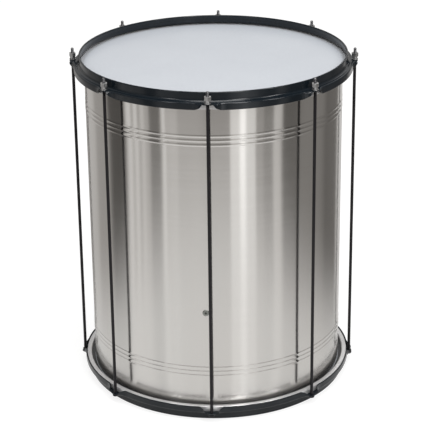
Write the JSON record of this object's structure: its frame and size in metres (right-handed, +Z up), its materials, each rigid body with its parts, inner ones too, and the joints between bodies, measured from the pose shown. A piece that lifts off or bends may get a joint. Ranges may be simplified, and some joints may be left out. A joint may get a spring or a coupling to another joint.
{
  "type": "surdo drum",
  "caption": "Deep two-headed bass drum: brushed sheet-metal shell, film heads on light flesh hoops, black pressed counter hoops with ears, and long black tension rods with hex nuts.",
  "frame": {"origin": "on the floor, at the middle of the bottom counter hoop's rim", "axes": "+Z up along the drum's axis, -Y the side with the air vent and tension rod 1, +X to the right seen from there"},
  "size_m": [0.4472, 0.4478, 0.5345],
  "materials": {
    "shell": "brushed round the drum, satin",
    "flesh_hoops": "plain, satin",
    "black_hoops": "black powder coat, satin",
    "black_rods": "black, satin, bare and greyer on the thread",
    "head_film": "white coated film, matte, no print",
    "plated_fittings": "zinc plated, bright"
  },
  "bodies": {
    "drum": {"shell": "shell", "vent_eyelet": "plated_fittings", "top_head": "head_film", "bottom_head": "head_film", "top_flesh_hoop": "flesh_hoops", "bottom_flesh_hoop": "flesh_hoops", "top_counter_hoop": "black_hoops", "bottom_counter_hoop": "black_hoops", "tension_rod_1": "black_rods", "tension_rod_2": "black_rods", "tension_rod_3": "black_rods", "tension_rod_4": "black_rods", "tension_rod_5": "black_rods", "tension_rod_6": "black_rods", "tension_rod_7": "black_rods", "tension_rod_8": "black_rods"},
    "washer_1": {"washer_1": "plated_fittings"},
    "nut_1": {"nut_1": "plated_fittings"},
    "washer_2": {"washer_2": "plated_fittings"},
    "nut_2": {"nut_2": "plated_fittings"},
    "washer_3": {"washer_3": "plated_fittings"},
    "nut_3": {"nut_3": "plated_fittings"},
    "washer_4": {"washer_4": "plated_fittings"},
    "nut_4": {"nut_4": "plated_fittings"},
    "washer_5": {"washer_5": "plated_fittings"},
    "nut_5": {"nut_5": "plated_fittings"},
    "washer_6": {"washer_6": "plated_fittings"},
    "nut_6": {"nut_6": "plated_fittings"},
    "washer_7": {"washer_7": "plated_fittings"},
    "nut_7": {"nut_7": "plated_fittings"},
    "washer_8": {"washer_8": "plated_fittings"},
    "nut_8": {"nut_8": "plated_fittings"}
  },
  "joints": [
    {"name": "nut_turn_1", "type": "hinge", "parent": "drum", "child": "washer_1", "pos_m": [0, -0.2185, 0.522], "axis": [0, 0, 1], "range_deg": [0, 2160]},
    {"name": "nut_climb_1", "type": "slide", "parent": "washer_1", "child": "nut_1", "axis": [0, 0, 1], "range_m": [0, 0.00635]},
    {"name": "nut_turn_2", "type": "hinge", "parent": "drum", "child": "washer_2", "pos_m": [0.1545, -0.1545, 0.522], "axis": [0, 0, 1], "range_deg": [0, 2160]},
    {"name": "nut_climb_2", "type": "slide", "parent": "washer_2", "child": "nut_2", "axis": [0, 0, 1], "range_m": [0, 0.00635]},
    {"name": "nut_turn_3", "type": "hinge", "parent": "drum", "child": "washer_3", "pos_m": [0.2185, 0, 0.522], "axis": [0, 0, 1], "range_deg": [0, 2160]},
    {"name": "nut_climb_3", "type": "slide", "parent": "washer_3", "child": "nut_3", "axis": [0, 0, 1], "range_m": [0, 0.00635]},
    {"name": "nut_turn_4", "type": "hinge", "parent": "drum", "child": "washer_4", "pos_m": [0.1545, 0.1545, 0.522], "axis": [0, 0, 1], "range_deg": [0, 2160]},
    {"name": "nut_climb_4", "type": "slide", "parent": "washer_4", "child": "nut_4", "axis": [0, 0, 1], "range_m": [0, 0.00635]},
    {"name": "nut_turn_5", "type": "hinge", "parent": "drum", "child": "washer_5", "pos_m": [0, 0.2185, 0.522], "axis": [0, 0, 1], "range_deg": [0, 2160]},
    {"name": "nut_climb_5", "type": "slide", "parent": "washer_5", "child": "nut_5", "axis": [0, 0, 1], "range_m": [0, 0.00635]},
    {"name": "nut_turn_6", "type": "hinge", "parent": "drum", "child": "washer_6", "pos_m": [-0.1545, 0.1545, 0.522], "axis": [0, 0, 1], "range_deg": [0, 2160]},
    {"name": "nut_climb_6", "type": "slide", "parent": "washer_6", "child": "nut_6", "axis": [0, 0, 1], "range_m": [0, 0.00635]},
    {"name": "nut_turn_7", "type": "hinge", "parent": "drum", "child": "washer_7", "pos_m": [-0.2185, 0, 0.522], "axis": [0, 0, 1], "range_deg": [0, 2160]},
    {"name": "nut_climb_7", "type": "slide", "parent": "washer_7", "child": "nut_7", "axis": [0, 0, 1], "range_m": [0, 0.00635]},
    {"name": "nut_turn_8", "type": "hinge", "parent": "drum", "child": "washer_8", "pos_m": [-0.1545, -0.1545, 0.522], "axis": [0, 0, 1], "range_deg": [0, 2160]},
    {"name": "nut_climb_8", "type": "slide", "parent": "washer_8", "child": "nut_8", "axis": [0, 0, 1], "range_m": [0, 0.00635]}
  ],
  "couplings": [
    {"joint": "nut_turn_1", "follows": "nut_climb_1", "rad_per_m": 5938.7},
    {"joint": "nut_turn_2", "follows": "nut_climb_2", "rad_per_m": 5938.7},
    {"joint": "nut_turn_3", "follows": "nut_climb_3", "rad_per_m": 5938.7},
    {"joint": "nut_turn_4", "follows": "nut_climb_4", "rad_per_m": 5938.7},
    {"joint": "nut_turn_5", "follows": "nut_climb_5", "rad_per_m": 5938.7},
    {"joint": "nut_turn_6", "follows": "nut_climb_6", "rad_per_m": 5938.7},
    {"joint": "nut_turn_7", "follows": "nut_climb_7", "rad_per_m": 5938.7},
    {"joint": "nut_turn_8", "follows": "nut_climb_8", "rad_per_m": 5938.7}
  ]
}
